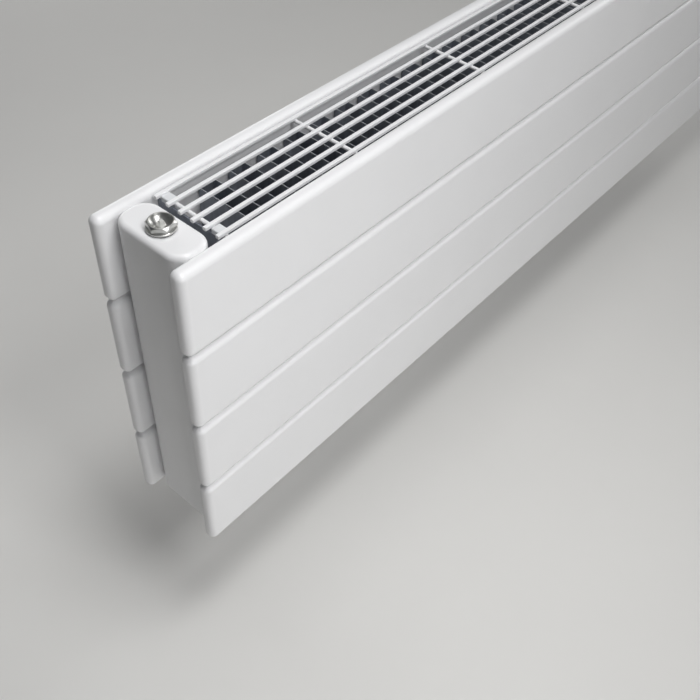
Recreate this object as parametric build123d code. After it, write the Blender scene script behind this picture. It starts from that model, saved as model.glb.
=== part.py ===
"""Horizontal flat-tube radiator, two panels deep, with a lift-off top grille and its two wall brackets.

Millimetres. +X runs along the length, +Y points into the wall and +Z up. The origin lies on the wall
plane, midway between the four wall-screw holes and level with the middle of the panels.
"""
from build123d import *
import math
import os

# ---- overall ----
length = 1120.0                # end to end of the flat tubes
rows = 4                       # flat tubes in each panel, one above the other
wall_gap = 28.0                # wall to the back of the rear panel
panel_gap = 64.0               # clear space between the two panels

# ---- flat tubes ----
tube_height = 70.0
tube_depth = 11.5
tube_wall = 1.5
tube_edge_radius = 5.0
tube_flat = 0.5                # least flat between two rounded edges
row_gap = 2.0                  # joint between one tube and the next

# ---- collectors ----
collector_inset = 9.5          # tube end to the collector's outer side
collector_width = 30.6
collector_corner_radius = 13.0
collector_edge_radius = 4.0
collector_wall = 2.0
collector_cap = 3.0            # thickness of the closed top and bottom
collector_drop = 1.0           # top and bottom stop this far short of the panels

# ---- waterways between tubes and collectors ----
ferrule_radius = 5.0
ferrule_bore_radius = 4.0
ferrule_stand = 1.0            # how far a ferrule stands into each waterway

# ---- threaded bosses, sockets and plugs ----
top_thread_radius = 8.33       # G 3/8, major
boss_wall = 3.2                # round the thread, where the collector leaves room
boss_height = 12.0
thread_gap = 0.05              # radial running clearance of every modelled thread
weld_gap = 0.3                 # least space between a boss or socket and the collector's side walls
socket_bore_radius = 9.32      # G 1/2, minor
socket_wall = 3.2              # round the bore, where the collector leaves room
socket_stand = 4.0             # below the collector
socket_depth = 22.0
socket_chamfer = 1.0
flange_overhang = 1.67         # plug flange beyond the thread
flange_height = 1.5
seal_height = 1.0
seal_inset = 0.6               # seal short of the flange's rim
hexagon_across = 17.0
hexagon_height = 3.9
hexagon_turn = 12.0            # degrees
rim_radius = 7.8
dish_depth = 4.8
blind_socket_across = 10.0
blind_socket_depth = 5.5

# ---- vent screw ----
screw_radius = 2.5
screw_thread_length = 6.0
needle_length = 2.5
needle_tip_radius = 0.6
vent_passage_radius = 1.5
weep_radius = 0.8
key_neck = 0.9                 # round neck between the dish and the square head
key_base = 5.0                 # square head, at the bottom
key_top = 2.8                  # square head, at the top
key_height = 3.9

# ---- grille ----
bar_count = 6
bar_width = 2.8
bar_height = 2.6
bar_edge_radius = 0.35
bar_drop = 1.7                 # top of the bars below the top of the panels
bar_side_gap = 2.0             # outer bar to the panel beside it
bar_end_inset = 43.7           # tube end to the end of the bars
wire_radius = 1.5
wire_bite = 0.3                # depth of the welded seat in each bar
end_wire_inset = 50.8          # tube end to the first cross wire
second_wire_inset = 174.0
wire_pitch = 154.4             # between the second wires of the two ends, as near as equal spans allow
clip_width = 7.4               # along the bars
clip_overhang = 0.6            # clip beyond the support's outer side
clip_bar_gap = 0.64            # clip to the next bar
clip_drop = 1.6                # top of a clip below the top of the bars
clip_leg_length = 7.0          # below the top of the support
clip_corner_radius = 0.8
moving_gap = 0.3               # between the grille and what it stands on

# ---- grille supports ----
support_thickness = 1.5
support_height = 14.0
support_drop = 8.0             # top of the support below the top of the panels
support_inset = 48.0           # tube end to the support

# ---- convector ----
sheet = 0.5
first_leg_inset = 82.0
leg_pitch = 13.86              # as near as an odd number of equal spans allows
convector_end_drop = 16.5      # below the top and above the bottom of the panels

# ---- hanging rails on the rear panel ----
rail_spacing = 720.0
rail_width = 26.0
rail_depth = 12.0
rail_sheet = 1.5
rail_bend_radius = 3.0         # outside of the bend
rail_height = 168.0
slot_width = 12.0
slot_height = 32.0
slot_corner_radius = 2.0
hook_spacing = 144.0           # upper hook to lower hook

# ---- wall brackets ----
bracket_sheet = 2.5
bracket_bend_radius = 4.5      # outside of the bend
bracket_corner_radius = 5.0
plate_width = 34.0
flange_front_gap = 2.5         # bracket flange to the rail's web
bracket_past_rail = 25.0       # above and below
arm_height = 12.0
arm_corner_radius = 4.0
arm_reach = 7.0                # hook tip beyond the rail's web
tip_thickness = 3.5
tip_rise = 7.0
tip_radius = 1.2
liner_thickness = 1.5
screw_hole_radius = 4.25
screw_spacing = 180.0          # upper to lower wall-screw hole
screw_offset = 16.0            # from the hook's plane towards the middle

# ---- anti-lift locks ----
lock_travel = 12.0
lock_height = 14.0
lock_width = 9.0
lock_corner_radius = 2.0
lock_plate_gap = 2.0           # its cheeks stop this far short of the bracket's plate
lock_front = 3.0               # how far its nose reaches past the rail's web
lock_rest_gap = 0.4
lock_gap = 0.3
lock_pin_radius = 1.6

past = 1.0                     # how far a cutting shape runs past the face that it cuts

# ---- worked out from the sizes above ----
row_pitch = tube_height + row_gap
panel_height = rows * row_pitch - row_gap
top = panel_height / 2
bottom = -top
rear_panel_back = -wall_gap
rear_panel_front = rear_panel_back - tube_depth
front_panel_back = rear_panel_front - panel_gap
front_panel_front = front_panel_back - tube_depth
gap_middle = (rear_panel_front + front_panel_back) / 2
collector_centre = length / 2 - collector_inset - collector_width / 2
collector_top = top - collector_drop
collector_bottom = -collector_top
tube_radius = min(tube_edge_radius, (tube_depth - tube_flat) / 2)
collector_room = collector_width / 2 - collector_wall - weld_gap
boss_radius = min(top_thread_radius + boss_wall, collector_room)
socket_radius = min(socket_bore_radius + socket_wall, collector_room)
flange_radius = top_thread_radius + flange_overhang
seal_radius = flange_radius - seal_inset
collector_corner = min(collector_corner_radius, (collector_width - tube_flat) / 2)
collector_edge = min(collector_edge_radius, collector_width / 2 - flange_radius)
ENDS = {"left": -1, "right": 1}


def block(x_range, y_range, z_range):
    """A plain block between three pairs of limits."""
    size = [high - low for low, high in (x_range, y_range, z_range)]
    centre = [(low + high) / 2 for low, high in (x_range, y_range, z_range)]
    return Pos(*centre) * Box(*size)


def span(centre, size):
    """The two limits of a size laid evenly about a centre."""
    return (centre - size / 2, centre + size / 2)


def upright(x, y, z, radius, height):
    """A cylinder standing on a point."""
    return Pos(x, y, z + height / 2) * Cylinder(radius, height)


def across(x, y_range, z, radius):
    """A cylinder lying along Y between two limits."""
    middle = sum(y_range) / 2
    return Pos(x, middle, z) * Rot(90, 0, 0) * Cylinder(radius, y_range[1] - y_range[0])


def row_middle(row):
    """Height of the middle of a row, counted from 1 at the top."""
    return top - tube_height / 2 - (row - 1) * row_pitch


def waterway_points():
    """Every point, in X and Z, where a tube opens into a collector."""
    heights = [row_middle(row) for row in range(1, rows + 1)]
    return [(side * collector_centre, z) for side in ENDS.values() for z in heights]


def wall_faces():
    """For each panel: the Y of its face against the collectors, and the way from there into the tube."""
    return {"front": (front_panel_back, -1), "rear": (rear_panel_front, 1)}


def soft_block(x_size, y_size, z_size, radius):
    """A block with every edge and corner rounded."""
    shape = Box(x_size, y_size, z_size)
    return fillet(shape.edges(), radius)


def flat_tube(panel, row):
    """A closed flat tube with a waterway hole at each end in the wall that meets the collectors."""
    face, inward = wall_faces()[panel]
    body = soft_block(length, tube_depth, tube_height, tube_radius)
    hollow = [size - 2 * tube_wall for size in (length, tube_depth, tube_height)]
    body -= soft_block(*hollow, tube_radius - tube_wall)
    tube = Pos(0, face + inward * tube_depth / 2, row_middle(row)) * body
    for side in ENDS.values():
        limits = sorted((face - inward * tube_wall, face + inward * 2 * tube_wall))
        tube -= across(side * collector_centre, limits, row_middle(row), ferrule_radius)
    return tube


def collector_outline(margin):
    """The collector's section, drawn in by a margin."""
    width = collector_width - 2 * margin
    depth = panel_gap - 2 * margin
    return RectangleRounded(width, depth, collector_corner - margin)


def collector(side):
    """A closed upright tube with its waterway holes, the plug hole on top and the socket hole below."""
    x = side * collector_centre
    height = collector_top - collector_bottom
    shell = extrude(Pos(0, 0, collector_bottom) * collector_outline(0), height)
    ends = shell.edges().filter_by(Plane.XY)
    shell = fillet(ends, collector_edge)
    hollow = Pos(0, 0, collector_bottom + collector_cap) * collector_outline(collector_wall)
    shell -= extrude(hollow, height - 2 * collector_cap)
    shell = Pos(x, gap_middle, 0) * shell
    shell -= upright(x, gap_middle, collector_top - 2 * collector_cap, top_thread_radius + thread_gap,
                     3 * collector_cap)
    shell -= upright(x, gap_middle, collector_bottom - collector_cap, socket_radius, 3 * collector_cap)
    for row in range(1, rows + 1):
        for face, inward in wall_faces().values():
            limits = sorted((face + inward * past, face - inward * 3 * collector_wall))
            shell -= across(x, limits, row_middle(row), ferrule_radius)
    return shell


def ferrules():
    """A short welded-in tube at each waterway, through the tube's wall and the collector's wall."""
    rings = []
    for x, z in waterway_points():
        for face, inward in wall_faces().values():
            into_tube = face + inward * (tube_wall + ferrule_stand)
            into_collector = face - inward * (collector_wall + ferrule_stand)
            limits = sorted((into_tube, into_collector))
            through = (limits[0] - past, limits[1] + past)
            rings.append(across(x, limits, z, ferrule_radius) - across(x, through, z, ferrule_bore_radius))
    return Compound(children=rings)


def top_boss(side):
    """The threaded boss welded under the collector's top."""
    x = side * collector_centre
    base = collector_top - collector_cap - boss_height
    boss = upright(x, gap_middle, base, boss_radius, boss_height)
    bore_radius = top_thread_radius + thread_gap
    return boss - upright(x, gap_middle, base - past, bore_radius, boss_height + 2 * past)


def pipe_socket(side):
    """The threaded socket through the collector's bottom."""
    x = side * collector_centre
    base = collector_bottom - socket_stand
    socket = upright(x, gap_middle, base, socket_radius, socket_depth)
    rim = min(socket_chamfer, (socket_radius - socket_bore_radius) / 2)
    socket = chamfer(socket.edges().group_by(Axis.Z)[0], rim)
    return socket - upright(x, gap_middle, base - past, socket_bore_radius, socket_depth + 2 * past)


def plug_seal(side):
    """The flat ring under a plug's flange."""
    x = side * collector_centre
    ring = upright(x, gap_middle, collector_top, seal_radius, seal_height)
    bore_radius = top_thread_radius + thread_gap
    return ring - upright(x, gap_middle, collector_top - past, bore_radius, seal_height + 2 * past)


def plug_blank(side):
    """The part that both plugs share: threaded shank, round flange and hexagon, without its recess."""
    x = side * collector_centre
    shank_length = collector_cap + boss_height
    flange_base = collector_top + seal_height
    hexagon_base = flange_base + flange_height
    shank = upright(x, gap_middle, flange_base - seal_height - shank_length, top_thread_radius,
                    shank_length + seal_height)
    flange = upright(x, gap_middle, flange_base, flange_radius, flange_height)
    flange = fillet(flange.edges().group_by(Axis.Z)[-1], flange_height / 3)
    hexagon = extrude(RegularPolygon(hexagon_across / math.sqrt(3), 6), hexagon_height)
    hexagon = Rot(0, 0, hexagon_turn) * hexagon
    turned = Cone(hexagon_across / 2 + hexagon_height, hexagon_across / 2, hexagon_height)
    hexagon &= Pos(0, 0, hexagon_height / 2) * turned
    return shank + flange + Pos(x, gap_middle, hexagon_base) * hexagon


plug_top = collector_top + seal_height + flange_height + hexagon_height
dish_floor = plug_top - dish_depth


def vent_plug(side):
    """The plug with a dished top, a threaded bore for the vent screw, its seat and a weep hole."""
    x = side * collector_centre
    plug = plug_blank(side)
    dish_sphere = (rim_radius ** 2 + dish_depth ** 2) / (2 * dish_depth)
    plug -= Pos(x, gap_middle, dish_floor + dish_sphere) * Sphere(dish_sphere)
    bore_floor = dish_floor - screw_thread_length - needle_length
    bore_height = screw_thread_length + needle_length + past
    plug -= upright(x, gap_middle, bore_floor, screw_radius + thread_gap, bore_height)
    plug -= upright(x, gap_middle, collector_top - 2 * boss_height, vent_passage_radius, 3 * boss_height)
    weep_height = bore_floor + needle_length / 2
    weep = Rot(0, 90, hexagon_turn) * Cylinder(weep_radius, 2 * flange_radius)
    return plug - Pos(x, gap_middle, weep_height) * weep


def vent_screw(side):
    """The vent screw: a needle, a threaded stem and a tapered square head for the key."""
    x = side * collector_centre
    stem_base = dish_floor - screw_thread_length
    key_foot = dish_floor + key_neck
    stem = upright(0, 0, stem_base, screw_radius, screw_thread_length + key_neck)
    needle = Pos(0, 0, stem_base - needle_length / 2) * Cone(needle_tip_radius, screw_radius, needle_length)
    foot = Plane.XY.offset(key_foot) * RectangleRounded(key_base, key_base, key_base / 8)
    tip = Plane.XY.offset(key_foot + key_height) * RectangleRounded(key_top, key_top, key_top / 8)
    head = loft([foot, tip])
    return Pos(x, gap_middle, 0) * (stem + needle + head)


def blind_plug(side):
    """The plug without a vent: a hexagon socket in its top."""
    x = side * collector_centre
    socket = extrude(RegularPolygon(blind_socket_across / math.sqrt(3), 6), blind_socket_depth + past)
    return plug_blank(side) - Pos(x, gap_middle, plug_top - blind_socket_depth) * socket


bar_top = top - bar_drop
bar_bottom = bar_top - bar_height
first_bar = rear_panel_front - bar_side_gap - bar_width / 2
last_bar = front_panel_back + bar_side_gap + bar_width / 2
wire_height = bar_bottom + wire_bite - wire_radius
support_top = top - support_drop


def bar_line(number):
    """Y of the middle of a bar, counted from 1 at the rear."""
    return first_bar + (last_bar - first_bar) * (number - 1) / (bar_count - 1)


def wire_places():
    """X of every cross wire: two near each end, and equal spans between."""
    ends = [length / 2 - end_wire_inset, -length / 2 + end_wire_inset]
    reach = length / 2 - second_wire_inset
    spans = round(2 * reach / wire_pitch)
    return ends + [-reach + 2 * reach * number / spans for number in range(spans + 1)]


def cross_wires():
    """The round wires under the bars, from the rear bar to the front bar."""
    limits = (last_bar - bar_width / 2, first_bar + bar_width / 2)
    return [across(x, limits, wire_height, wire_radius) for x in wire_places()]


def grille_bar(number):
    """One long bar, with a shallow seat for each cross wire."""
    bar = Box(length - 2 * bar_end_inset, bar_width, bar_height)
    bar = fillet(bar.edges().filter_by(Axis.X), bar_edge_radius)
    bar = Pos(0, bar_line(number), bar_top - bar_height / 2) * bar
    for wire in cross_wires():
        bar -= wire
    return bar


def grille_clip(side, bar, towards):
    """A moulded block on the end wire, beside an outer bar; it stands on the grille support."""
    outer = length / 2 - support_inset + clip_overhang
    inner = outer - clip_width
    clip_length = abs(bar_line(2) - bar_line(1)) - bar_width - clip_bar_gap
    edge = bar_line(bar) + towards * bar_width / 2
    limits = sorted((edge, edge + towards * clip_length))
    base = support_top - clip_leg_length
    body = block((inner, outer), limits, (base, bar_top - clip_drop))
    body = fillet(body.edges().filter_by(Axis.Z), clip_corner_radius)
    body = fillet(body.edges().group_by(Axis.Z)[-1], clip_corner_radius / 2)
    step = length / 2 - support_inset - support_thickness - moving_gap
    seat = (base - past, support_top + moving_gap)
    body -= block((step, outer + past), span(edge, 4 * clip_length), seat)
    if side < 0:
        body = mirror(body, Plane.YZ)
    for wire in cross_wires():
        body -= wire
    return body


def grille_support(side):
    """The flat bar on edge between the panels that carries one end of the grille."""
    outer = length / 2 - support_inset
    limits = sorted((side * outer, side * (outer - support_thickness)))
    return block(limits, (front_panel_back, rear_panel_front), (support_top - support_height, support_top))


def convector():
    """The folded sheet: upright legs across the gap, joined front and rear by turns."""
    reach = length / 2 - first_leg_inset
    leg_spans = 2 * round(reach / leg_pitch - 1 / 2) + 1
    step = 2 * reach / leg_spans
    outline = Sketch()
    for number in range(leg_spans + 1):
        x = -reach + step * number
        outline += Pos(x, gap_middle) * Rectangle(sheet, panel_gap)
        if number < leg_spans:
            at_rear = number % 2 == 0
            y = rear_panel_front - sheet / 2 if at_rear else front_panel_back + sheet / 2
            outline += Pos(x + step / 2, y) * Rectangle(step + sheet, sheet)
    base = bottom + convector_end_drop
    return extrude(Pos(0, 0, base) * outline, panel_height - 2 * convector_end_drop)


rail_web = rear_panel_back + rail_depth          # the rail's face towards the wall
web_front = rail_web - rail_sheet
saddle = hook_spacing / 2                        # height of the rail's weight on the upper hook
hook_heights = (saddle, -saddle)


def hanging_rail(side):
    """A channel welded on the rear panel, with two slots in its web that drop over the hooks."""
    x = side * rail_spacing / 2
    outer = Rectangle(rail_width, rail_depth, align=(Align.CENTER, Align.MAX))
    outer = fillet(outer.vertices().group_by(Axis.Y)[-1], rail_bend_radius)
    inner = Rectangle(rail_width - 2 * rail_sheet, rail_depth, align=(Align.CENTER, Align.MAX))
    inner = fillet(inner.vertices().group_by(Axis.Y)[-1], rail_bend_radius - rail_sheet)
    section = outer - Pos(0, -rail_sheet) * inner
    channel = Pos(x, rail_web, -rail_height / 2) * extrude(section, rail_height)
    for height in hook_heights:
        slot_top = height + liner_thickness
        through = (web_front - past, rail_web + past)
        slot = block(span(x, slot_width), through, (slot_top - slot_height, slot_top))
        channel -= fillet(slot.edges().filter_by(Axis.Y), slot_corner_radius)
    return channel


flange_front = rail_web + flange_front_gap
rail_top = rail_height / 2
bracket_top = rail_top + bracket_past_rail
tip_outer = web_front - arm_reach
tip_inner = tip_outer + tip_thickness
lock_base = rail_top + lock_rest_gap
lock_back = -bracket_sheet - lock_plate_gap
lock_pin_height = lock_base + lock_height / 2
lock_pin_y = (flange_front + lock_back) / 2


def hook(height):
    """One upturned hook on the bracket's flange."""
    thick = span(0, bracket_sheet)
    arm = block(thick, (tip_outer, flange_front), (height - arm_height, height))
    corner = arm.edges().filter_by(Axis.X).group_by(Axis.Z)[0].sort_by(Axis.Y)[0]
    arm = fillet(corner, arm_corner_radius)
    tip = block(thick, (tip_outer, tip_inner), (height, height + tip_rise))
    return arm + fillet(tip.edges().filter_by(Axis.X).group_by(Axis.Z)[-1], tip_radius)


def wall_bracket(side):
    """A bent angle on the wall: back plate with two screw holes, and a flange with two hooks."""
    heights = (-bracket_top, bracket_top)
    far = bracket_sheet / 2
    plate = block((far - plate_width, far), (-bracket_sheet, 0), heights)
    free_corners = plate.edges().filter_by(Axis.Y).group_by(Axis.X)[0]
    plate = fillet(free_corners, bracket_corner_radius)
    flange = block((-far, far), (flange_front, 0), heights)
    bracket = plate + flange
    inner_corner = bracket.edges().filter_by(Axis.Z).filter_by_position(Axis.X, -far, -far)
    bracket = fillet(inner_corner.sort_by(Axis.Y)[-1], bracket_bend_radius - bracket_sheet)
    outer_corner = bracket.edges().filter_by(Axis.Z).filter_by_position(Axis.X, far, far)
    bracket = fillet(outer_corner.sort_by(Axis.Y)[-1], bracket_bend_radius)
    for height in hook_heights:
        bracket += hook(height)
    for z in span(0, screw_spacing):
        bracket -= across(-screw_offset, (-2 * bracket_sheet, bracket_sheet), z, screw_hole_radius)
    run = lock_pin_radius + lock_gap
    slot_limits = (lock_pin_height - run, lock_pin_height + run + lock_travel)
    slot = block(span(0, 2 * bracket_sheet), span(lock_pin_y, 2 * run), slot_limits)
    bracket -= slot
    if side < 0:
        bracket = mirror(bracket, Plane.YZ)
    return Pos(side * rail_spacing / 2, 0, 0) * bracket


def hook_liners():
    """A moulded saddle on each hook, under the rail's weight."""
    liners = []
    for side in ENDS.values():
        x = side * rail_spacing / 2
        wide = bracket_sheet + 2 * liner_thickness
        for height in hook_heights:
            heights = (height - arm_height / 2, height + liner_thickness)
            liner = block(span(x, wide), (tip_inner, flange_front), heights)
            arm = (tip_inner - past, flange_front + past)
            liner -= block(span(x, bracket_sheet), arm, (height - arm_height, height))
            liners.append(liner)
    return Compound(children=liners)


def lift_lock(side):
    """A slider that straddles the bracket's flange, with a nose over the rail that stops it lifting."""
    x = side * rail_spacing / 2
    heights = (lock_base, lock_base + lock_height)
    body = block(span(x, lock_width), (web_front - lock_front, lock_back), heights)
    body = fillet(body.edges().filter_by(Axis.X).group_by(Axis.Z)[-1], lock_corner_radius)
    run = (flange_front - lock_gap, lock_back + past)
    body -= block(span(x, bracket_sheet + 2 * lock_gap), run, span(lock_base, 4 * lock_height))
    pin = Pos(x, lock_pin_y, lock_pin_height) * Rot(0, 90, 0) * Cylinder(lock_pin_radius, lock_width)
    return body + pin


def all_pieces():
    """Every piece by its name."""
    pieces = {}
    for row in range(1, rows + 1):
        for panel in wall_faces():
            pieces[f"{panel}_tube_{row}"] = flat_tube(panel, row)
    for name, side in ENDS.items():
        pieces[f"{name}_collector"] = collector(side)
        pieces[f"{name}_top_boss"] = top_boss(side)
        pieces[f"{name}_grille_support"] = grille_support(side)
        pieces[f"{name}_hanging_rail"] = hanging_rail(side)
        pieces[f"{name}_wall_bracket"] = wall_bracket(side)
        pieces[f"{name}_lift_lock"] = lift_lock(side)
        pieces[f"{name}_rear_clip"] = grille_clip(side, 1, -1)
        pieces[f"{name}_front_clip"] = grille_clip(side, bar_count, 1)
    pieces["waterway_ferrules"] = ferrules()
    pieces["supply_socket"] = pipe_socket(ENDS["left"])
    pieces["return_socket"] = pipe_socket(ENDS["right"])
    pieces["vent_plug"] = vent_plug(ENDS["left"])
    pieces["vent_plug_seal"] = plug_seal(ENDS["left"])
    pieces["vent_screw"] = vent_screw(ENDS["left"])
    pieces["blind_plug"] = blind_plug(ENDS["right"])
    pieces["blind_plug_seal"] = plug_seal(ENDS["right"])
    for number in range(1, bar_count + 1):
        pieces[f"grille_bar_{number}"] = grille_bar(number)
    pieces["grille_cross_wires"] = Compound(children=cross_wires())
    pieces["convector"] = convector()
    pieces["hook_liners"] = hook_liners()
    return pieces


os.makedirs("parts", exist_ok=True)
for node, shape in all_pieces().items():
    export_step(shape, f"parts/{node}.step")
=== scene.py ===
"""Looks for a horizontal flat-tube radiator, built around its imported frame.

Enamelled flat tubes and collectors, the welded bar grille, the folded convector, plated plugs and
moulded clips are worked out as surfaces in metres, where the frame says each piece lies.
"""

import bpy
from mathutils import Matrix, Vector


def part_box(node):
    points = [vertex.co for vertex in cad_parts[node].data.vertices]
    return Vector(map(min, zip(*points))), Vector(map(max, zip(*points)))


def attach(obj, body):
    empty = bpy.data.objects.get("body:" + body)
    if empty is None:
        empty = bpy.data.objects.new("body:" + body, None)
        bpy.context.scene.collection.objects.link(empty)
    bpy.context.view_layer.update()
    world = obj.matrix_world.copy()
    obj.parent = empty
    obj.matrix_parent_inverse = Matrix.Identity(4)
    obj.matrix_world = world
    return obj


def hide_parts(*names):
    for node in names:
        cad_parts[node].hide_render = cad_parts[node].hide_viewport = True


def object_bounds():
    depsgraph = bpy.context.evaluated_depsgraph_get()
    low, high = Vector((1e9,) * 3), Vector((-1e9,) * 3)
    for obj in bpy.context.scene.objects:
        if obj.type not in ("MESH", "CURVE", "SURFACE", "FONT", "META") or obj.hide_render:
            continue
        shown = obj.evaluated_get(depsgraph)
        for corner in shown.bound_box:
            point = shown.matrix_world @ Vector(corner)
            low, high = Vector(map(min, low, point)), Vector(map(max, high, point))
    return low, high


bl_info = {
    "name": "Flat-tube radiator",
    "version": (1, 0, 0),
    "blender": (4, 5, 0),
    "location": "3D View > Sidebar > Radiator",
    "description": "Builds the visible surfaces and finishes of a two-panel flat-tube radiator",
    "category": "Add Mesh",
}

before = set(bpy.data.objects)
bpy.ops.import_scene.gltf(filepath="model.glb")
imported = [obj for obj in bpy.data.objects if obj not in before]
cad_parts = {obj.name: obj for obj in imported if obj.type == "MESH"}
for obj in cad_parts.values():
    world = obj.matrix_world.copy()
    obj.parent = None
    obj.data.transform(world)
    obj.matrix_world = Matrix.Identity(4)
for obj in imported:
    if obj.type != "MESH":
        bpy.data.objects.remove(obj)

import math

import bmesh
import bpy
import numpy as np
from bpy.props import FloatProperty, FloatVectorProperty, PointerProperty
from mathutils import Matrix, Vector

CAD_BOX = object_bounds()
MM = 0.001
ROWS = 4                    # flat tubes in each panel
BARS = 6                    # bars of the grille
ENDS = ("left", "right")
PANELS = ("front", "rear")

RIGHT_ANGLE = math.pi / 2
FULL_TURN = 2 * math.pi
AROUND = 72                 # points round a turned piece
BEAD_AROUND = 10            # points round a weld bead
THREAD_STEPS = 8            # rows in one turn of a thread
RIPPLE_STEPS = 6            # rows in one ripple of a weld bead
RIPPLE_SWELL = 0.12         # share by which a weld bead swells in a ripple
MERGE = 0.002 * MM          # points nearer to each other than this become one
BESIDE_ARC = 0.4 * MM       # from an arc to the point that keeps the flat beside it flat
BESIDE_SMALL_ARC = 0.1 * MM
SHARP, SHARP_CUT, SHARP_MOULDED, SHARP_WELD = 35, 30, 50, 80     # degrees, smooth below
FLAT_WITHIN, BROKEN_ABOVE = 1, 40       # degrees, for a cut piece's flat faces and its edges

PLUG_TURN = 12.0            # degrees from the radiator's length to a corner of the hexagon
PLUG_THREAD_DEPTH = 0.55    # depth of a thread as a share of its pitch
SOCKET_THREAD_DEPTH = 0.6
SCREW_THREAD_DEPTH = 0.5
KEY_BLUNTNESS = 9           # power of the rounded square: 2 is a circle, and more is squarer
COUNTERSINK = 1.17          # over half a hexagon's size; its corners lie at 1.155
WAVE_RADIAN = 0.05          # length over scale in which a wave texture turns by one radian


def linear(hex_colour):
    """An sRGB hex colour as linear red, green and blue."""
    channels = [int(hex_colour[i:i + 2], 16) / 255 for i in (1, 3, 5)]
    return tuple(c / 12.92 if c <= 0.04045 else ((c + 0.055) / 1.055) ** 2.4 for c in channels)


def length_setting(name, description, millimetres):
    """A length the user can change, given in millimetres."""
    return FloatProperty(name=name, description=description, default=millimetres * MM, min=0.0,
                         unit="LENGTH", subtype="DISTANCE", precision=5)


def colour_setting(name, description, hex_colour):
    """A colour the user can change."""
    return FloatVectorProperty(name=name, description=description, default=linear(hex_colour),
                               size=3, min=0.0, max=1.0, subtype="COLOR")


def power_setting(name, description, watts):
    """The power of a light."""
    return FloatProperty(name=name, description=description, default=watts, min=0.0, unit="POWER")


class RadiatorShapes(bpy.types.PropertyGroup):
    """Sizes of the surfaces that the frame leaves open."""
    tube_edge: length_setting("Tube edge", "Radius of a tube's rolled edges and closed ends", 5.0)
    collector_corner: length_setting("Collector corner", "Radius of the upright corners", 13.0)
    collector_edge: length_setting("Collector edge", "Radius round its top and bottom", 4.0)
    bar_edge: length_setting("Bar edge", "Radius along a grille bar", 0.35)
    wire_end: length_setting("Wire end", "Rounding of a cross wire's end", 0.5)
    clip_edge: length_setting("Clip edge", "Rounding of the moulded clips", 0.9)
    fold_radius: length_setting("Fold radius", "Inside radius of the convector's folds", 1.2)
    sheet: length_setting("Sheet", "Thickness of the convector's sheet", 0.5)
    # Height of the painted highlight along each edge of the convector sheet, for the light its
    # edges catch.
    painted_band_height: length_setting("Cut edge", "Height of the band left bright by the shears", 0.5)
    broken_edge: length_setting("Broken edge", "Rounding that paint leaves on cut edges", 0.35)
    weld_radius: length_setting("Weld radius", "Radius of a bead between tube and collector", 1.3)
    weld_length: length_setting("Weld length", "Length of a weld bead", 46.0)
    ripple: length_setting("Weld ripple", "Distance between the ripples of a weld bead", 1.6)
    hexagon: length_setting("Hexagon", "Size of the plugs' hexagon across its flats", 17.0)
    rim: length_setting("Dish rim", "Radius of the vent plug's dish at its rim", 7.8)
    dish: length_setting("Dish depth", "Depth of the vent plug's dish", 4.8)
    flange: length_setting("Flange height", "Thickness of the plugs' round flange", 1.5)
    plug_thread: length_setting("Plug thread", "Outside radius of the plugs' thread", 8.33)
    plug_pitch: length_setting("Plug thread pitch", "One turn of the plugs' thread", 1.337)
    blind_key: length_setting("Blind plug key", "Hexagon socket across its flats", 10.0)
    blind_depth: length_setting("Blind plug depth", "Depth of the hexagon socket", 5.5)
    screw: length_setting("Vent screw", "Outside radius of the vent screw's thread", 2.5)
    screw_pitch: length_setting("Vent screw pitch", "One turn of its thread", 0.8)
    needle: length_setting("Needle", "Length of the vent screw's needle", 2.5)
    key_foot: length_setting("Key foot", "Side of the square head at its foot", 5.0)
    key_tip: length_setting("Key tip", "Side of the square head at its tip", 2.8)
    key_height: length_setting("Key height", "Height of the square head", 3.9)
    socket_bore: length_setting("Socket bore", "Radius inside the pipe sockets' thread", 9.32)
    socket_pitch: length_setting("Socket thread pitch", "One turn of their thread", 1.814)


class RadiatorFinish(bpy.types.PropertyGroup):
    """Colours of the finishes."""
    enamel: colour_setting("Enamel", "Stoved enamel on tubes, collectors and grille", "#F3F3F4")
    # The sheet's grey is partly the zinc coat and partly painted shade: darker than the enamel, so
    # that the convector stays as dark as the shade between the panels.
    sheet: colour_setting("Sheet", "Zinc coat on the convector sheet", "#9A9FA9")
    nickel: colour_setting("Nickel", "Nickel plate on the plugs", "#D3D3D0")
    clip: colour_setting("Clip", "Moulded grille clips", "#E2E4E6")
    nylon: colour_setting("Nylon", "Hook liners and lift locks", "#DCD9CE")
    rubber: colour_setting("Rubber", "Plug seals", "#17181A")
    bracket: colour_setting("Bracket", "Powder coat on the wall brackets", "#E2E3E4")
    floor: colour_setting("Floor", "Studio floor", "#E4E3E0")


class RadiatorStage(bpy.types.PropertyGroup):
    """Floor, lights and camera."""
    floor_drop: FloatProperty(name="Floor drop", description="From the radiator down to the floor",
                              default=0.12, min=0.0, unit="LENGTH")
    key_power: power_setting("Key power", "Soft light high in front", 1.9)
    high_power: power_setting("High power", "Soft light steeply above the left end", 4.4)
    low_power: power_setting("Low power", "Soft light low in front", 1.9)
    top_power: power_setting("Top power", "Soft light above and behind, for the tops", 1.2)
    side_power: power_setting("Side power", "Wide soft light to the right, for the gloss", 0.8)
    back_power: power_setting("Back power", "Soft light behind", 10.0)
    end_power: power_setting("End power", "Soft light beyond the right end", 5.0)
    sky: FloatProperty(name="Sky", description="Strength of the even light from all round",
                       default=0.055, min=0.0)
    lens: FloatProperty(name="Lens", description="Focal length of the camera", default=45.31,
                        min=1.0, unit="CAMERA")


def settings():
    """The three groups of settings of this scene."""
    scene = bpy.context.scene
    return scene.radiator_shapes, scene.radiator_finish, scene.radiator_stage


# ------------------------------
# Surfaces
# ------------------------------

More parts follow.
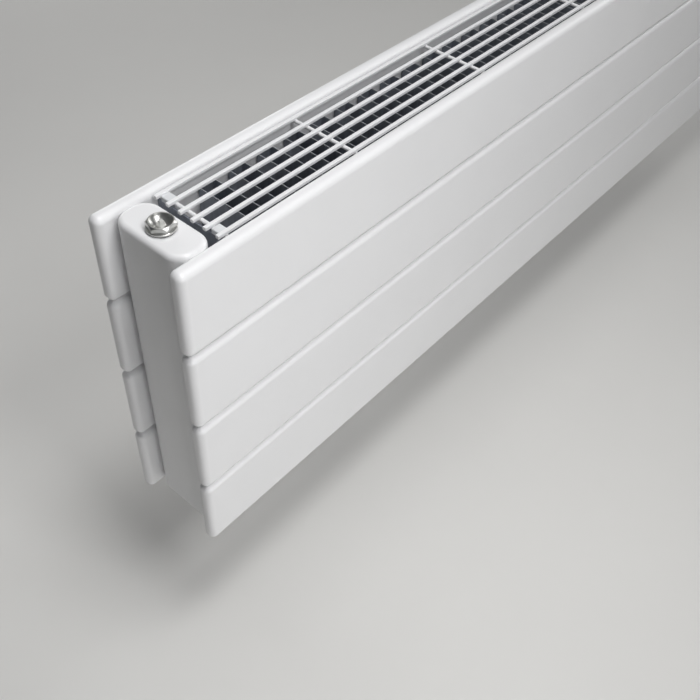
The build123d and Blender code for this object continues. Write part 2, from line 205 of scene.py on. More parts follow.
def outline(width, depth, corner, steps=6, support=BESIDE_ARC):
    """A rounded rectangle as a closed loop of points.

    Each quarter is an arc, centre plus corner times (cos, sin), with one more point on the flat
    just before it and one just after, so that the flats stay flat when shaded.
    """
    quarters = []
    for number, (sx, sy) in enumerate(((1, 1), (-1, 1), (-1, -1), (1, -1))):
        angle = np.linspace(0, RIGHT_ANGLE, steps + 1) + number * RIGHT_ANGLE
        centre = np.array([sx * (width / 2 - corner), sy * (depth / 2 - corner)])
        arc = centre + corner * np.stack([np.cos(angle), np.sin(angle)], axis=1)
        way = np.stack([-np.sin(angle), np.cos(angle)], axis=1)
        quarters += [arc[:1] - support * way[:1], arc, arc[-1:] + support * way[-1:]]
    return np.vstack(quarters)


def both_ends(flat, reach, length):
    """Rows of a bar along Z: each outline at its reach in from the low end, and again, mirrored, in
    from the high end."""
    height = np.broadcast_to(reach[:, None, None] - length / 2, flat.shape[:2] + (1,))
    low = np.concatenate([flat, height], axis=2)
    return np.concatenate([low, low[::-1] * np.array([1, 1, -1])])


def rounded_bar(width, depth, length, corner, end, steps=6, support=BESIDE_ARC):
    """Rows of a bar along Z whose ends are rounded over.

    At distance end * (1 - cos a) from an end, the outline is drawn in by end * (1 - sin a), for a
    from 0 to a right angle; between the ends it is whole.
    """
    a = np.linspace(0, RIGHT_ANGLE, steps + 1)
    inset = np.concatenate([[end + support], end * (1 - np.sin(a)), [0.0]])
    reach = np.concatenate([[0.0], end * (1 - np.cos(a)), [end + support]])
    loops = [outline(width - 2 * i, depth - 2 * i, max(corner - i, 0.0), steps, support)
             for i in inset]
    return both_ends(np.stack(loops), reach, length)


def turned(rows, segments=AROUND, start=0.0):
    """A shape turned about Z. Each row is a pair, radius and height, where either may change with
    the angle."""
    angle = start + np.linspace(0, FULL_TURN, segments, endpoint=False)
    radius = np.stack([np.broadcast_to(r, segments) for r, z in rows])
    height = np.stack([np.broadcast_to(z, segments) for r, z in rows])
    return np.stack([radius * np.cos(angle), radius * np.sin(angle), height], axis=2)


def turned_about(node, rows, segments=AROUND, start=0.0):
    """A shape turned about a node's own upright axis."""
    centre, _ = middle_and_size(node)
    return place(turned(rows, segments, start), "Z", (centre[0], centre[1], 0))


def hexagon_radius(across):
    """Distance from the axis to a hexagon, starting at a corner: half its size over the cosine of
    the angle from the middle of the nearest flat."""
    angle = np.linspace(0, FULL_TURN, AROUND, endpoint=False)
    return across / 2 / np.cos(np.mod(angle, math.pi / 3) - math.pi / 6)


def thread_rows(crest, depth, pitch, base, top, outside=True):
    """Rows of a screw thread from base to top.

    The depth below the crest follows a rounded V, half of one plus the cosine of the phase, where
    the phase is height over pitch less the share of a turn. It fades out over half a pitch at both
    ends.
    """
    count = int(round((top - base) / pitch * THREAD_STEPS)) + 1
    height = np.linspace(base, top, count)[:, None]
    share = np.linspace(0, 1, AROUND, endpoint=False)[None, :]
    groove = 0.5 + 0.5 * np.cos(FULL_TURN * (height / pitch - share))
    fade = np.clip(np.minimum(height - base, top - height) / (pitch / 2), 0, 1)
    radius = crest - depth * groove * fade if outside else crest + depth * groove * fade
    return [(radius[i], height[i, 0]) for i in range(count)]


def corners_rounded(corners, radius, inset, steps=5):
    """A polygon drawn in by an inset, with every corner rounded.

    Corners run anticlockwise. A corner that juts out has the radius less the inset, and one that
    turns in has the radius plus the inset, so that every inset outline stays parallel to the first.
    """
    points = np.asarray(corners, float)
    way = np.roll(points, -1, axis=0) - points
    way /= np.linalg.norm(way, axis=1)[:, None]
    before = np.roll(way, 1, axis=0)
    left, left_before = (np.stack([-w[:, 1], w[:, 0]], axis=1) for w in (way, before))
    turn = np.arctan2(before[:, 0] * way[:, 1] - before[:, 1] * way[:, 0],
                      (before * way).sum(axis=1))
    mitre = (left + left_before) / (1 + (left * left_before).sum(axis=1))[:, None]
    moved = points + inset * mitre
    bend = np.maximum(np.where(turn > 0, radius - inset, radius + inset), 0.0)
    first = moved - before * (bend * np.tan(np.abs(turn) / 2))[:, None]
    hub = first + (np.sign(turn) * bend)[:, None] * left_before
    angle = np.linspace(0, 1, steps + 1)[None, :] * turn[:, None]
    arm = first - hub
    x = hub[:, :1] + arm[:, :1] * np.cos(angle) - arm[:, 1:] * np.sin(angle)
    y = hub[:, 1:] + arm[:, :1] * np.sin(angle) + arm[:, 1:] * np.cos(angle)
    return np.stack([x, y], axis=2).reshape(-1, 2)


def moulding(corners, length, radius, edge, steps=4):
    """Rows of a rounded polygon carried along its own axis, with its two end edges rounded like a
    bar's."""
    a = np.linspace(0, RIGHT_ANGLE, steps + 1)
    flat = np.stack([corners_rounded(corners, radius, i) for i in edge * (1 - np.sin(a))])
    return both_ends(flat, edge * (1 - np.cos(a)), length)


def place(rows, along, centre):
    """Turns rows made along Z to lie along X, Y or Z, and moves them to a centre."""
    order = {"X": (2, 1, 0), "Y": (0, 2, 1), "Z": (0, 1, 2)}[along]
    return rows[..., order] + np.asarray(centre, float)


def grid_faces(rows, first, ring):
    """Quads between neighbouring rows of a closed grid, and either a cap at each end or quads that
    join the last row to the first."""
    count, around = rows.shape[:2]
    index = first + np.arange(count * around).reshape(count, around)
    if ring:
        index = np.concatenate([index, index[:1]])
    beside = np.roll(index, -1, axis=1)
    quads = np.stack([index[:-1], beside[:-1], beside[1:], index[1:]], axis=2)
    quads = quads.reshape(-1, 4).tolist()
    return quads if ring else quads + [index[0][::-1].tolist(), index[-1].tolist()]


def piece(name, grids, finish, sharp=SHARP, ring=False):
    """A mesh object of closed grids: doubles merged, faces outwards, smooth but for its sharp
    edges."""
    faces, first = [], 0
    for rows in grids:
        faces += grid_faces(rows, first, ring)
        first += rows.shape[0] * rows.shape[1]
    points = np.concatenate([rows.reshape(-1, 3) for rows in grids])
    mesh = bpy.data.meshes.new(name)
    mesh.from_pydata(points, [], faces)
    work = bmesh.new()
    work.from_mesh(mesh)
    bmesh.ops.remove_doubles(work, verts=work.verts, dist=MERGE)
    bmesh.ops.dissolve_degenerate(work, edges=work.edges, dist=MERGE)
    bmesh.ops.recalc_face_normals(work, faces=work.faces)
    return finished(name, mesh, work, finish, sharp)


def finished(name, mesh, work, finish, sharp):
    """Puts a worked mesh into a new object, smooth but for edges sharper than an angle."""
    work.to_mesh(mesh)
    work.free()
    mesh.shade_smooth()
    mesh.set_sharp_from_angle(angle=math.radians(sharp))
    mesh.materials.clear()
    mesh.materials.append(finish_named(finish))
    made = bpy.data.objects.new(name, mesh)
    bpy.context.scene.collection.objects.link(made)
    return made


def softened(node, finish):
    """A copy of a pressed or cut CAD piece with its cut edges broken: triangles merged into flat
    faces, then a narrow rounded bevel along every edge."""
    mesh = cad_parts[node].data.copy()
    work = bmesh.new()
    work.from_mesh(mesh)
    bmesh.ops.remove_doubles(work, verts=work.verts, dist=MERGE)
    bmesh.ops.dissolve_limit(work, angle_limit=math.radians(FLAT_WITHIN), verts=work.verts,
                             edges=work.edges)
    made = finished(node + "_softened", mesh, work, finish, SHARP_CUT)
    bevel = made.modifiers.new("broken_edges", "BEVEL")
    bevel.width = settings()[0].broken_edge
    bevel.segments = 2
    bevel.limit_method = "ANGLE"
    bevel.angle_limit = math.radians(BROKEN_ABOVE)
    bevel.harden_normals = True
    return made


def stand_for(made, body, slot, *nodes):
    """Makes a piece ride on its body and stand for its CAD nodes. The slot is not used."""
    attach(made, body)
    if nodes:
        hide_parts(*nodes)


def enamelled(name, grids, *nodes, body="radiator", sharp=SHARP, ring=False):
    """An enamelled piece that rides on a body and stands for its nodes."""
    stand_for(piece(name, grids, "enamel", sharp, ring), body, "enamelled_steel", *nodes)


def middle_and_size(node):
    """A node's middle and size at rest."""
    low, high = (np.array(corner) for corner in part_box(node))
    return (low + high) / 2, high - low


def places_along_x(node, gap):
    """The middle of each wire or leg of a node: corners nearer to each other than the gap belong
    together."""
    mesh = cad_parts[node].data
    points = np.empty(3 * len(mesh.vertices))
    mesh.vertices.foreach_get("co", points)
    ordered = np.sort(points[::3])
    breaks = np.flatnonzero(np.diff(ordered) > gap) + 1
    return [float((group.min() + group.max()) / 2) for group in np.split(ordered, breaks)]


# ------------------------------
# Finishes
# ------------------------------

def add(tree, kind, values=None, links=None):
    """Adds one shader node, sets its values and links its inputs."""
    made = tree.nodes.new(kind)
    for name, value in (values or {}).items():
        if isinstance(name, int) or name in made.inputs:
            made.inputs[name].default_value = value
        else:
            setattr(made, name, value)
    for name, source in (links or {}).items():
        tree.links.new(source, made.inputs[name])
    return made


def new_material(name):
    """An empty material, its tree and Object coordinates."""
    material = bpy.data.materials.new(name)
    material.use_nodes = True
    material.node_tree.nodes.clear()
    coords = add(material.node_tree, "ShaderNodeTexCoord").outputs["Object"]
    return material, material.node_tree, coords


def surface(material, values, tint, rough=None, bump=None):
    """Ends a material with its shader, which holds the even values on its own sockets."""
    tree = material.node_tree
    links = {"Base Color": tint.outputs[2]}
    if rough:
        links.update({"Roughness": rough.outputs[0], "Normal": bump.outputs[0]})
    shader = add(tree, "ShaderNodeBsdfPrincipled", values, links)
    add(tree, "ShaderNodeOutputMaterial", links={"Surface": shader.outputs[0]})
    return material


def shade(colour, factor=1.0):
    """A colour made darker or lighter, with an alpha of 1."""
    return tuple(min(c * factor, 1.0) for c in colour) + (1.0,)


def stoved_enamel():
    """White stoved enamel, sprayed: satin, with clouds from the spray, a fine ripple and a clear
    top, which give soft, slightly broken highlights."""
    colour = settings()[1].enamel
    material, tree, coords = new_material("stoved_enamel_sprayed")
    cloud = add(tree, "ShaderNodeTexNoise", {"Scale": 1 / (60 * MM), "Detail": 2.0},
                {"Vector": coords})
    tint = add(tree, "ShaderNodeMix",
               {"data_type": "RGBA", 6: shade(colour, 0.975), 7: shade(colour, 1.01)},
               {"Factor": cloud.outputs["Fac"]})
    gloss = add(tree, "ShaderNodeTexNoise", {"Scale": 1 / (9 * MM), "Detail": 3.0},
                {"Vector": coords})
    rough = add(tree, "ShaderNodeMapRange", {"To Min": 0.27, "To Max": 0.37},
                {"Value": gloss.outputs["Fac"]})
    # The ripple of sprayed enamel is 1 to 2 mm wide and a few hundredths of a millimetre deep.
    peel = add(tree, "ShaderNodeTexNoise",
               {"Scale": 1 / (1.8 * MM), "Detail": 1.5, "Roughness": 0.4}, {"Vector": coords})
    bump = add(tree, "ShaderNodeBump", {"Strength": 0.35, "Distance": 0.03 * MM},
               {"Height": peel.outputs["Fac"]})
    return surface(material, {"IOR": 1.5, "Coat Weight": 0.25, "Coat Roughness": 0.12},
                   tint, rough, bump)


def rolled_sheet():
    """Thin rolled steel under a grey zinc coat, its grey partly painted shade, kept darker than the
    enamel for the shade deep between the panels: dull metal with streaks up the legs, which catches
    a soft light on its faces and stays dark in its depth."""
    colour = settings()[1].sheet
    material, tree, coords = new_material("zinc_coated_rolled_sheet")
    # Rolling marks are some tenths of a millimetre wide. They are drawn 2.5 mm wide, to show, and
    # twenty times as long.
    stretch = add(tree, "ShaderNodeMapping", {"Scale": (1.0, 1.0, 0.05)}, {"Vector": coords})
    streak = add(tree, "ShaderNodeTexNoise", {"Scale": 1 / (2.5 * MM), "Detail": 4.0},
                 {"Vector": stretch.outputs[0]})
    tint = add(tree, "ShaderNodeMix",
               {"data_type": "RGBA", 6: shade(colour, 0.7), 7: shade(colour, 1.3)},
               {"Factor": streak.outputs["Fac"]})
    rough = add(tree, "ShaderNodeMapRange", {"To Min": 0.34, "To Max": 0.52},
                {"Value": streak.outputs["Fac"]})
    bump = add(tree, "ShaderNodeBump", {"Strength": 0.4, "Distance": 0.03 * MM},
               {"Height": streak.outputs["Fac"]})
    return surface(material, {"Metallic": 0.5}, tint, rough, bump)


def painted_edge_highlight():
    """A painted highlight: lighter greys on a band along the sheet's top and bottom edges, standing
    for the light that the legs' edges catch, which draws a thin light line on each leg."""
    material, tree, coords = new_material("zinc_coated_sheet_sheared")
    highlight_noise = add(tree, "ShaderNodeTexNoise", {"Scale": 1 / (1.2 * MM), "Detail": 3.0},
                {"Vector": coords})
    tint = add(tree, "ShaderNodeMix",
               # Lighter greys than the sheet's own: the painted highlight on its edges, mottled by
               # noise.
               {"data_type": "RGBA", 6: shade(linear("#9EA2A7")), 7: shade(linear("#CDD0D3"))},
               {"Factor": highlight_noise.outputs["Fac"]})
    return surface(material, {"Metallic": 0.3, "Roughness": 0.5}, tint)


def nickel_plate(name, node, roughness=0.3, metallic=1.0):
    """Bright plate over turned metal: rings of tool marks about the piece's own axis, which draw
    its highlights out, and a slight haze."""
    colour = settings()[1].nickel
    centre, _ = middle_and_size(node)
    material, tree, coords = new_material(name)
    centred = add(tree, "ShaderNodeMapping", {"Location": tuple(-centre)}, {"Vector": coords})
    # Tool marks lie about 0.1 mm apart. They are drawn at a radian of the wave to 0.35 mm, which is
    # 2.2 mm from ring to ring, to show.
    rings = add(tree, "ShaderNodeTexWave",
                {"wave_type": "RINGS", "rings_direction": "Z", "Scale": WAVE_RADIAN / (0.35 * MM),
                 "Distortion": 0.6, "Detail": 2.0}, {"Vector": centred.outputs[0]})
    haze = add(tree, "ShaderNodeTexNoise", {"Scale": 1 / (2.5 * MM), "Detail": 4.0},
               {"Vector": coords})
    rough = add(tree, "ShaderNodeMapRange",
                {"To Min": roughness - 0.05, "To Max": roughness + 0.12},
                {"Value": haze.outputs["Fac"]})
    tint = add(tree, "ShaderNodeMix",
               {"data_type": "RGBA", 6: shade(colour, 0.88), 7: shade(colour, 1.04)},
               {"Factor": haze.outputs["Fac"]})
    bump = add(tree, "ShaderNodeBump", {"Strength": 0.2, "Distance": 0.02 * MM},
               {"Height": rings.outputs["Fac"]})
    return surface(material, {"Metallic": metallic}, tint, rough, bump)


def moulded(name, colour, grain, roughness, subsurface=0.0):
    """Moulded plastic or rubber, or powder coat: a fine grain that softens the highlights, and a
    slightly uneven gloss."""
    material, tree, coords = new_material(name)
    # A mould's grain is 0.05 to 0.1 mm, and is drawn at 0.3 to 0.5 mm, to show. The ripple of
    # powder coat is as wide as it is drawn.
    texture = add(tree, "ShaderNodeTexNoise", {"Scale": 1 / grain, "Detail": 2.0},
                  {"Vector": coords})
    flow = add(tree, "ShaderNodeTexNoise", {"Scale": 1 / (12 * grain), "Detail": 2.0},
               {"Vector": coords})
    tint = add(tree, "ShaderNodeMix",
               {"data_type": "RGBA", 6: shade(colour, 0.93), 7: shade(colour, 1.04)},
               {"Factor": flow.outputs["Fac"]})
    rough = add(tree, "ShaderNodeMapRange",
                {"To Min": roughness - 0.06, "To Max": roughness + 0.06},
                {"Value": flow.outputs["Fac"]})
    bump = add(tree, "ShaderNodeBump", {"Strength": 0.5, "Distance": 0.04 * MM},
               {"Height": texture.outputs["Fac"]})
    return surface(material, {"Subsurface Weight": subsurface, "Subsurface Scale": 1.0 * MM},
                   tint, rough, bump)


def bare_steel():
    """Turned mild steel, left bare inside the waterways: dull grey with rings along its axis."""
    material, tree, coords = new_material("turned_mild_steel")
    # A radian of the wave to 0.4 mm is 2.5 mm from ring to ring, coarser than the real 0.1 mm.
    lines = add(tree, "ShaderNodeTexWave",
                {"bands_direction": "Z", "Scale": WAVE_RADIAN / (0.4 * MM), "Distortion": 1.0},
                {"Vector": coords})
    tint = add(tree, "ShaderNodeMix",
               {"data_type": "RGBA", 6: shade(linear("#7F8284")), 7: shade(linear("#9EA1A3"))},
               {"Factor": lines.outputs["Fac"]})
    return surface(material, {"Metallic": 1.0, "Roughness": 0.38}, tint)


def floor_paint():
    """Matt floor paint: pale, faintly mottled and without gloss."""
    colour = settings()[1].floor
    material, tree, coords = new_material("matt_floor_paint")
    # Clouds about a sixth of a metre across, as a roller leaves them.
    mottle = add(tree, "ShaderNodeTexNoise", {"Scale": 6.0, "Detail": 6.0}, {"Vector": coords})
    tint = add(tree, "ShaderNodeMix",
               {"data_type": "RGBA", 6: shade(colour, 0.97), 7: shade(colour, 1.02)},
               {"Factor": mottle.outputs["Fac"]})
    return surface(material, {"Roughness": 0.85}, tint)


MADE_FINISHES = {}


def finish_named(name):
    """The material of that name, made once."""
    colours = settings()[1]
    makers = {
        "enamel": stoved_enamel,
        "sheet": rolled_sheet,
        # "cut" is the painted highlight along the convector sheet's edges.
        "cut": painted_edge_highlight,
        "vent": lambda: nickel_plate("nickel_plate_turned", "vent_plug"),
        "blind": lambda: nickel_plate("nickel_plate_turned_blind", "blind_plug"),
        "screw": lambda: nickel_plate("bright_plated_steel", "vent_screw", 0.4, 0.3),
        "clip": lambda: moulded("moulded_polypropylene", colours.clip, 0.5 * MM, 0.45),
        "nylon": lambda: moulded("moulded_nylon", colours.nylon, 0.5 * MM, 0.45, 0.1),
        "rubber": lambda: moulded("moulded_epdm_rubber", colours.rubber, 0.3 * MM, 0.6),
        "bracket": lambda: moulded("powder_coat_on_pressed_steel", colours.bracket, 0.7 * MM, 0.42),
        "bare": bare_steel,
        "floor": floor_paint,
    }
    if name not in MADE_FINISHES:
        MADE_FINISHES[name] = makers[name]()
    return MADE_FINISHES[name]


def dress(node, name):
    """Gives a CAD node a finish in place of its plain one."""
    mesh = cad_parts[node].data
    mesh.materials.clear()
    mesh.materials.append(finish_named(name))


# ------------------------------
# Operators
# ------------------------------

class RADIATOR_OT_panels(bpy.types.Operator):
    """Flat tubes of the front and rear panels"""
    bl_idname = "radiator.panels"
    bl_label = "Flat tubes"

    def execute(self, context):
        edge = settings()[0].tube_edge
        for panel in PANELS:
            for row in range(1, ROWS + 1):
                node = f"{panel}_tube_{row}"
                centre, size = middle_and_size(node)
                rows = rounded_bar(size[2], size[1], size[0], edge, edge, steps=8)
                enamelled(node + "_shell", [place(rows, "X", centre)], node)
        return {"FINISHED"}


class RADIATOR_OT_collectors(bpy.types.Operator):
    """Upright collectors between the panels"""
    bl_idname = "radiator.collectors"
    bl_label = "Collectors"

    def execute(self, context):
        shapes = settings()[0]
        for end in ENDS:
            node = f"{end}_collector"
            centre, size = middle_and_size(node)
            rows = rounded_bar(size[0], size[1], size[2], shapes.collector_corner,
                               shapes.collector_edge, steps=12)
            enamelled(node + "_shell", [place(rows, "Z", centre)], node)
        return {"FINISHED"}


def weld_bead(start, length):
    """Rows of an upright weld bead: a round section whose radius swells once per ripple and dies
    away at both ends."""
    shapes = settings()[0]
    radius, ripple = shapes.weld_radius, shapes.ripple
    run = np.linspace(0, 1, int(length / ripple) * RIPPLE_STEPS + 1)
    swell = 1 + RIPPLE_SWELL * np.abs(np.sin(math.pi * run * length / ripple))
    ends = np.clip(np.minimum(run, 1 - run) * length / radius, 0.0, 1) ** 0.5
    rows = zip(radius * swell * ends, (run - 0.5) * length)
    return place(turned(list(rows), BEAD_AROUND), "Z", start)


class RADIATOR_OT_welds(bpy.types.Operator):
    """Weld beads between tubes and collectors, and between tubes and hanging rails"""
    bl_idname = "radiator.welds"
    bl_label = "Welds"

    def execute(self, context):
        shapes = settings()[0]
        corner, radius = shapes.collector_corner, shapes.weld_radius
        collector_sink, rail_sink = 0.5 * radius, 0.3 * radius      # from a face to the bead's axis
        rail_bead = 0.4 * shapes.weld_length
        beads = []
        for end in ENDS:
            centre, size = middle_and_size(f"{end}_collector")
            offset = size[0] / 2 - corner + math.sqrt(corner ** 2 - (corner - radius) ** 2)
            front, rear = centre[1] - size[1] / 2, centre[1] + size[1] / 2
            rail_centre, rail_size = middle_and_size(f"{end}_hanging_rail")
            rail_low, rail_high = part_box(f"{end}_hanging_rail")
            for row in range(1, ROWS + 1):
                height = middle_and_size(f"front_tube_{row}")[0][2]
                for y in (front + collector_sink, rear - collector_sink):
                    for side in (-1, 1):
                        spot = (centre[0] + side * offset, y, height)
                        beads.append(weld_bead(spot, shapes.weld_length))
                if rail_low.z < height < rail_high.z:
                    for side in (-1, 1):
                        x = rail_centre[0] + side * rail_size[0] / 2
                        beads.append(weld_bead((x, rail_low.y + rail_sink, height), rail_bead))
        enamelled("weld_beads", beads, sharp=SHARP_WELD)
        return {"FINISHED"}


def cross_wire(radius, length, end, centre):
    """Rows of a round wire along Y whose ends are rounded over as a bar's are."""
    a = np.linspace(0, RIGHT_ANGLE, 5)
    reach = np.concatenate([end * (1 - np.cos(a)), length - end * (1 - np.cos(a[::-1]))])
    width = np.concatenate([radius - end * (1 - np.sin(a)), radius - end * (1 - np.sin(a[::-1]))])
    return place(turned(list(zip(width, reach - length / 2)), segments=20), "Y", centre)


def weld_nugget(spot, radius, height):
    """Rows of a flattened ball, where a wire is pressed into a bar."""
    a = np.linspace(-RIGHT_ANGLE, RIGHT_ANGLE, 7)
    rows = zip(radius * np.cos(a), height * np.sin(a))
    return place(turned(list(rows), segments=12), "Z", spot)


class RADIATOR_OT_grille(bpy.types.Operator):
    """Bars, cross wires and resistance welds of the grille"""
    bl_idname = "radiator.grille"
    bl_label = "Grille"

    def execute(self, context):
        shapes = settings()[0]
        joints = []             # where a wire meets a bar: y, z and the weld's radius
        for number in range(1, BARS + 1):
            node = f"grille_bar_{number}"
            centre, size = middle_and_size(node)
            rows = rounded_bar(size[2], size[1], size[0], shapes.bar_edge, shapes.bar_edge / 3,
                               steps=3, support=BESIDE_SMALL_ARC)
            enamelled(node + "_shell", [place(rows, "X", centre)], node, body="grille")
            joints.append((centre[1], centre[2] - size[2] / 2, 0.62 * size[1]))
        node, nugget_height = "grille_cross_wires", 0.55 * MM
        centre, size = middle_and_size(node)
        radius = size[2] / 2
        rods, nuggets = [], []
        for x in places_along_x(node, 2.5 * radius):
            spot = (x, centre[1], centre[2])
            rods.append(cross_wire(radius, size[1], shapes.wire_end, spot))
            nuggets += [weld_nugget((x, y, z), across, nugget_height) for y, z, across in joints]
        enamelled(node + "_shell", rods, node, body="grille")
        enamelled("grille_wire_welds", nuggets, body="grille", sharp=SHARP_WELD)
        return {"FINISHED"}


class RADIATOR_OT_clips(bpy.types.Operator):
    """Moulded clips that carry the grille, and the supports that they stand on"""
    bl_idname = "radiator.clips"
    bl_label = "Clips"

    def execute(self, context):
        edge = settings()[0].clip_edge
        play, bar_corner, bar_end = 0.3 * MM, 0.3 * MM, 0.05 * MM
        for end in ENDS:
            node = f"{end}_grille_support"
            support, size = middle_and_size(node)
            outward = math.copysign(1, support[0])
            step_x = support[0] - outward * (size[0] / 2 + play)
            step_z = support[2] + size[2] / 2 + play
            for spot in ("rear", "front"):
                clip = f"{end}_{spot}_clip"
                low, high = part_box(clip)
                outer, inner = (low.x, high.x) if outward < 0 else (high.x, low.x)
                corners = [(inner, low.z), (step_x, low.z), (step_x, step_z), (outer, step_z),
                           (outer, high.z), (inner, high.z)]
                if outward < 0:
                    corners = corners[::-1]
                rows = moulding(corners, high.y - low.y, edge, 0.6 * edge)
                middle = (0, (low.y + high.y) / 2, 0)
                made = piece(clip + "_moulding", [place(rows, "Y", middle)], "clip", SHARP_MOULDED)
                stand_for(made, "grille", "clip_plastic", clip)
            rows = rounded_bar(size[0], size[2], size[1], bar_corner, bar_end, steps=3,
                               support=BESIDE_SMALL_ARC)
            # The supports share the convector sheet's grey, which is partly painted shade for the
            # dark gap beside the collectors.
            made = piece(node + "_bar", [place(rows, "Y", support)], "sheet")
            stand_for(made, "radiator", "convector_steel", node)
        return {"FINISHED"}


def folded_line(low, high, spans, sheet, fold):
    """The middle line of the folded sheet, seen from above.

    Legs stand at equal steps and are joined in turn at the rear and at the front. Each right-angled
    turn is an arc about a centre one radius in from the leg and from the web.
    """
    radius = fold + sheet / 2
    step = (high[0] - low[0] - sheet) / spans
    front, rear = low[1] + sheet / 2, high[1] - sheet / 2
    quarter = np.linspace(0, RIGHT_ANGLE, 5)
    rise = np.stack([radius * (1 - np.cos(quarter)), radius * (np.sin(quarter) - 1)], axis=1)
    sink = np.stack([-rise[::-1, 0], rise[::-1, 1]], axis=1)
    bump = np.concatenate([rise, sink + np.array([step, 0.0])])
    turns = []
    for number in range(spans):
        x = low[0] + sheet / 2 + number * step
        flip = 1 if number % 2 == 0 else -1
        wall = rear if flip > 0 else front
        turns.append(np.array([x, wall]) + bump * np.array([1, flip]))
    start = np.array([[turns[0][0, 0], front]])
    stop = np.array([[turns[-1][-1, 0], front if spans % 2 else rear]])
    return np.concatenate([start] + turns + [stop])


def ribbon(line, thickness, base, top):
    """Rows of an upright sheet that follows a line: the line moved half a thickness to either
    side."""
    way = np.gradient(line, axis=0)
    way /= np.linalg.norm(way, axis=1)[:, None]
    side = np.stack([-way[:, 1], way[:, 0]], axis=1) * thickness / 2
    loop = np.concatenate([line + side, (line - side)[::-1]])
    return np.stack([np.concatenate([loop, np.full((len(loop), 1), z)], axis=1)
                     for z in (base, top)])


class RADIATOR_OT_convector(bpy.types.Operator):
    """Folded convector sheet between the panels, and the painted highlight along its edges"""
    bl_idname = "radiator.convector"
    bl_label = "Convector"

    def execute(self, context):
        shapes = settings()[0]
        sheet, cut = shapes.sheet, shapes.painted_band_height
        proud = 0.02 * MM       # the bright bands lie over the sheet's edges
        low, high = (np.array(corner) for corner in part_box("convector"))
        spans = len(places_along_x("convector", 3 * sheet)) - 1
        line = folded_line(low, high, spans, sheet, shapes.fold_radius)
        body = ribbon(line, sheet, low[2], high[2])
        made = piece("convector_sheet", [body], "sheet", SHARP_MOULDED)
        stand_for(made, "radiator", "convector_steel", "convector")
        # Bands of a lighter finish along the top and bottom edges: a painted highlight for the
        # light that the legs' edges catch.
        edges = [ribbon(line, sheet + 2 * proud, high[2] - cut, high[2] + proud),
                 ribbon(line, sheet + 2 * proud, low[2] - proud, low[2] + cut)]
        made = piece("convector_cut_edges", edges, "cut", SHARP_MOULDED)
        stand_for(made, "radiator", "convector_steel")
        return {"FINISHED"}


def plug_foot(node):
    """Rows that both plugs share, and the plug's top.

    They are a closed shank, a thread, a flange with a rounded rim, and the hexagon whose corners
    are turned off at 45 degrees.
    """
    shapes = settings()[0]
    nick, lead_in, rim, bevel = 0.2 * MM, 0.4 * MM, 0.5 * MM, 0.15 * MM
    low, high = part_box(node)
    seal_low, seal_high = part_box(node + "_seal")
    thread, depth = shapes.plug_thread, PLUG_THREAD_DEPTH * shapes.plug_pitch
    root, flange = thread - depth, (high.x - low.x) / 2
    base, top = seal_high.z, high.z
    shoulder = base + shapes.flange
    rows = [(0.0, low.z), (root - nick, low.z), (root, low.z + nick)]
    rows += thread_rows(thread, depth, shapes.plug_pitch, low.z + lead_in, seal_low.z)
    rows += [(root, seal_low.z + nick), (root, base), (flange - nick, base), (flange, base + nick),
             (flange, shoulder - rim)]
    rows += [(flange - rim * (1 - math.cos(a)), shoulder - rim * (1 - math.sin(a)))
             for a in np.linspace(0, RIGHT_ANGLE, 6)[1:]]
    corner = hexagon_radius(shapes.hexagon)
    turned_top = shapes.hexagon / 2 - bevel
    rows += [(corner, shoulder), (corner, top - (corner - turned_top)), (turned_top, top)]
    return rows, top


def plug_piece(node, rows, finish):
    """Turns a plug's rows about the plug's own axis and lets the piece stand for its node."""
    grid = turned_about(node, rows, start=math.radians(PLUG_TURN))
    made = piece(node + "_turned", [grid], finish, SHARP_CUT)
    stand_for(made, "radiator", "nickel_plate", node)


def seal_ring(node):
    """A plug's flat rubber ring with its edges rounded."""
    play, corner = 0.05 * MM, 0.3 * MM
    centre, size = middle_and_size(node)
    inner, outer = settings()[0].plug_thread + play, size[0] / 2
    loop = outline(outer - inner, size[2], corner, steps=4, support=0.05 * MM)
    rows = [(x + (outer + inner) / 2, z) for x, z in loop]
    made = piece(node + "_ring", [place(turned(rows), "Z", centre)], "rubber", ring=True)
    stand_for(made, "radiator", "seal_rubber", node)


class RADIATOR_OT_plugs(bpy.types.Operator):
    """Vent plug with its dish, blind plug with its hexagon socket, and their seals"""
    bl_idname = "radiator.plugs"
    bl_label = "Plugs"

    def execute(self, context):
        self.vent_plug(settings()[0])
        self.blind_plug(settings()[0])
        seal_ring("vent_plug_seal")
        seal_ring("blind_plug_seal")
        return {"FINISHED"}

    def vent_plug(self, shapes):
        """The dish is a cap of a sphere, whose radius is the sum of the squares of rim and depth
        over twice the depth."""
        lip, lip_drop, play, bore_end = 0.12 * MM, 0.05 * MM, 0.05 * MM, 0.1 * MM
        rows, top = plug_foot("vent_plug")
        sphere = (shapes.rim ** 2 + shapes.dish ** 2) / (2 * shapes.dish)
        bore = shapes.screw + play
        steep = math.asin(shapes.rim / sphere)
        if shapes.dish > sphere:
            steep = math.pi - steep
        floor = top - shapes.dish
        rows += [(shapes.rim + lip, top), (shapes.rim, top - lip_drop)]
        rows += [(sphere * math.sin(a), floor + sphere * (1 - math.cos(a)))
                 for a in np.linspace(steep, math.asin(bore / sphere), 16)[1:]]
        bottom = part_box("vent_screw")[0].z
        rows += [(bore, bottom), (0.0, bottom - bore_end)]
        plug_piece("vent_plug", rows, "vent")

    def blind_plug(self, shapes):
        """The hexagon socket has a countersunk mouth and the cone that a drill leaves below."""
        rows, top = plug_foot("blind_plug")
        recess = hexagon_radius(shapes.blind_key)
        mouth = shapes.blind_key / 2 * COUNTERSINK
        floor, cone = top - shapes.blind_depth, 1.0 * MM
        rows += [(mouth, top), (recess, top - (mouth - recess).clip(0.02 * MM)), (recess, floor),
                 (0.0, floor - cone)]
        plug_piece("blind_plug", rows, "blind")


